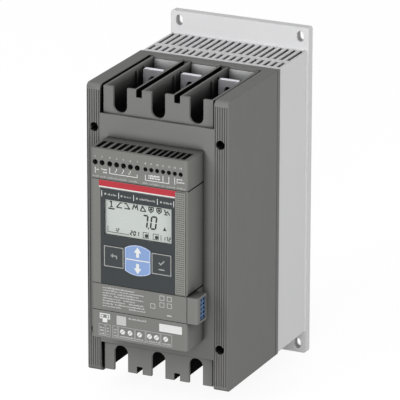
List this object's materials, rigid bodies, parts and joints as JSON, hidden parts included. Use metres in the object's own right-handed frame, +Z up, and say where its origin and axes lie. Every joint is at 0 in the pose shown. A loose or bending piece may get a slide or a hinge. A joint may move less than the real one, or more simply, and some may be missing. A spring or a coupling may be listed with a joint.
{
  "type": "soft starter",
  "caption": "Panel-mounted three-phase soft starter: finned heat sink on a slotted plate, dark housing with terminal chambers, and a control unit with display, keys and terminals.",
  "frame": {"origin": "centre of the mounting plate's back face", "axes": "+Z up, +Y out of the back into the cabinet's mounting plate, so the front faces -Y; +X to the right seen from the front"},
  "size_m": [0.13, 0.204, 0.295],
  "materials": {
    "coated_aluminium": "light grey powder coat, fine texture",
    "housing_plastic": "dark grey moulded plastic, fine spark texture",
    "control_plastic": "mid grey moulded plastic, fine spark texture",
    "zinc_steel": "zinc-plated steel",
    "tinned_copper": "tin-plated copper bar",
    "black_plastic": "black moulded plastic",
    "relay_plastic": "ivory moulded plastic",
    "sensor_resin": "red-brown potting resin",
    "circuit_board": "green solder mask",
    "dark_film": "dark printed polyester film, satin",
    "red_film": "red printed polyester film, satin",
    "clear_window": "clear moulded window",
    "display": "pale grey liquid-crystal display",
    "light_pipe": "milky light pipe",
    "dark_key": "dark key with printed white frame",
    "blue_key": "pale blue key with printed white arrow",
    "key_rubber": "black silicone rubber",
    "terminal_plastic": "black moulded plastic",
    "plug_blue": "blue moulded plastic",
    "fan_plastic": "black moulded plastic"
  },
  "bodies": {
    "chassis": {"heat_sink": "coated_aluminium", "main_cover": "housing_plastic", "cover_screws": "zinc_steel", "line_terminal_shroud": "housing_plastic", "load_terminal_shroud": "housing_plastic", "bar_screws": "zinc_steel", "module_screws": "zinc_steel", "firing_board": "circuit_board", "board_screws": "zinc_steel", "board_link": "black_plastic", "control_board": "circuit_board", "terminal_hood": "control_plastic", "panel_case": "control_plastic", "link_case": "control_plastic", "lower_case": "control_plastic", "panel_film": "dark_film", "title_strip": "red_film", "display_window": "clear_window", "display_module": "display", "status_lights": "light_pipe", "key_mat": "key_rubber", "relay_terminals": "terminal_plastic", "signal_terminals": "terminal_plastic", "terminal_screws": "zinc_steel", "link_socket": "black_plastic", "link_plug": "plug_blue", "plug_screws": "zinc_steel", "fan_frame_1": "fan_plastic", "fan_frame_2": "fan_plastic", "fan_screws": "zinc_steel", "line_bar_1": "tinned_copper", "load_bar_1": "tinned_copper", "power_module_1": "black_plastic", "bypass_relay_1": "relay_plastic", "current_sensor_1": "sensor_resin", "line_bar_2": "tinned_copper", "load_bar_2": "tinned_copper", "power_module_2": "black_plastic", "bypass_relay_2": "relay_plastic", "current_sensor_2": "sensor_resin", "line_bar_3": "tinned_copper", "load_bar_3": "tinned_copper", "power_module_3": "black_plastic", "bypass_relay_3": "relay_plastic", "current_sensor_3": "sensor_resin"},
    "key_left": {"key_left": "dark_key"},
    "key_up": {"key_up": "blue_key"},
    "key_down": {"key_down": "blue_key"},
    "key_right": {"key_right": "dark_key"},
    "fan_rotor_1": {"fan_rotor_1": "fan_plastic"},
    "fan_rotor_2": {"fan_rotor_2": "fan_plastic"}
  },
  "joints": [
    {"name": "key_left_press", "type": "slide", "parent": "chassis", "child": "key_left", "axis": [0, 1, 0], "range_m": [0, 0.0006], "stiffness_N_per_m": 1500},
    {"name": "key_up_press", "type": "slide", "parent": "chassis", "child": "key_up", "axis": [0, 1, 0], "range_m": [0, 0.0006], "stiffness_N_per_m": 1500},
    {"name": "key_down_press", "type": "slide", "parent": "chassis", "child": "key_down", "axis": [0, 1, 0], "range_m": [0, 0.0006], "stiffness_N_per_m": 1500},
    {"name": "key_right_press", "type": "slide", "parent": "chassis", "child": "key_right", "axis": [0, 1, 0], "range_m": [0, 0.0006], "stiffness_N_per_m": 1500},
    {"name": "fan_1_spin", "type": "hinge", "parent": "chassis", "child": "fan_rotor_1", "pos_m": [-0.02857, -0.036, -0.1165], "axis": [0, 0, 1], "continuous": true},
    {"name": "fan_2_spin", "type": "hinge", "parent": "chassis", "child": "fan_rotor_2", "pos_m": [0.02857, -0.036, -0.1165], "axis": [0, 0, 1], "continuous": true}
  ]
}
